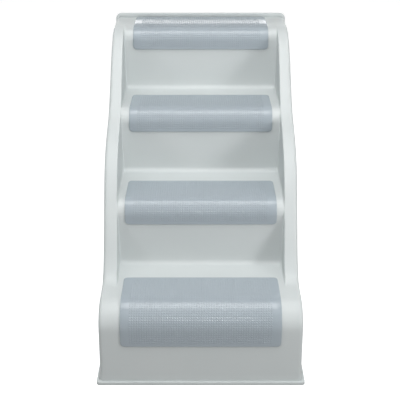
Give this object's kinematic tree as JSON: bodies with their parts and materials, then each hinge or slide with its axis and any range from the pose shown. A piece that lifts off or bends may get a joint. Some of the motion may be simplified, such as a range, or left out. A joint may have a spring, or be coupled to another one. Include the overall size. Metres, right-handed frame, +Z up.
{
  "type": "pet stairs",
  "caption": "Moulded pet stairs with non-slip step pads, wavy side rails and ribbed side panels that fold flat under the steps.",
  "frame": {"origin": "on the floor, at the centre of the footprint", "axes": "+Z up, +Y towards the back where the platform meets the bed or sofa, +X to the right seen from the front"},
  "size_m": [0.451, 0.718, 0.658],
  "materials": {
    "shell_plastic": "moulded polypropylene, light grey, fine satin texture",
    "panel_plastic": "moulded polypropylene, light grey, fine satin texture",
    "pad_rubber": "soft thermoplastic rubber, blue grey, with a field of small raised squares",
    "pin_steel": "drawn steel wire rod",
    "foot_rubber": "dark grey rubber"
  },
  "bodies": {
    "staircase": {"stair_shell": "shell_plastic", "step_pad_1": "pad_rubber", "step_pad_2": "pad_rubber", "step_pad_3": "pad_rubber", "step_pad_4": "pad_rubber", "left_hinge_pin_1": "pin_steel", "left_hinge_pin_2": "pin_steel", "left_hinge_pin_3": "pin_steel", "right_hinge_pin_1": "pin_steel", "right_hinge_pin_2": "pin_steel", "right_hinge_pin_3": "pin_steel", "shell_foot_front_left": "foot_rubber", "shell_foot_front_right": "foot_rubber", "shell_foot_rear_left": "foot_rubber", "shell_foot_rear_right": "foot_rubber"},
    "left_panel": {"left_side_panel": "panel_plastic", "panel_foot_front_left": "foot_rubber", "panel_foot_rear_left": "foot_rubber"},
    "right_panel": {"right_side_panel": "panel_plastic", "panel_foot_front_right": "foot_rubber", "panel_foot_rear_right": "foot_rubber"}
  },
  "joints": [
    {"name": "left_panel_fold", "type": "hinge", "parent": "staircase", "child": "left_panel", "pos_m": [-0.212, 0.1095, 0.31633], "axis": [0, -0.685, -0.7285], "range_deg": [0, 90]},
    {"name": "right_panel_fold", "type": "hinge", "parent": "staircase", "child": "right_panel", "pos_m": [0.212, 0.1095, 0.29005], "axis": [0, 0.685, 0.7285], "range_deg": [0, 90]}
  ]
}
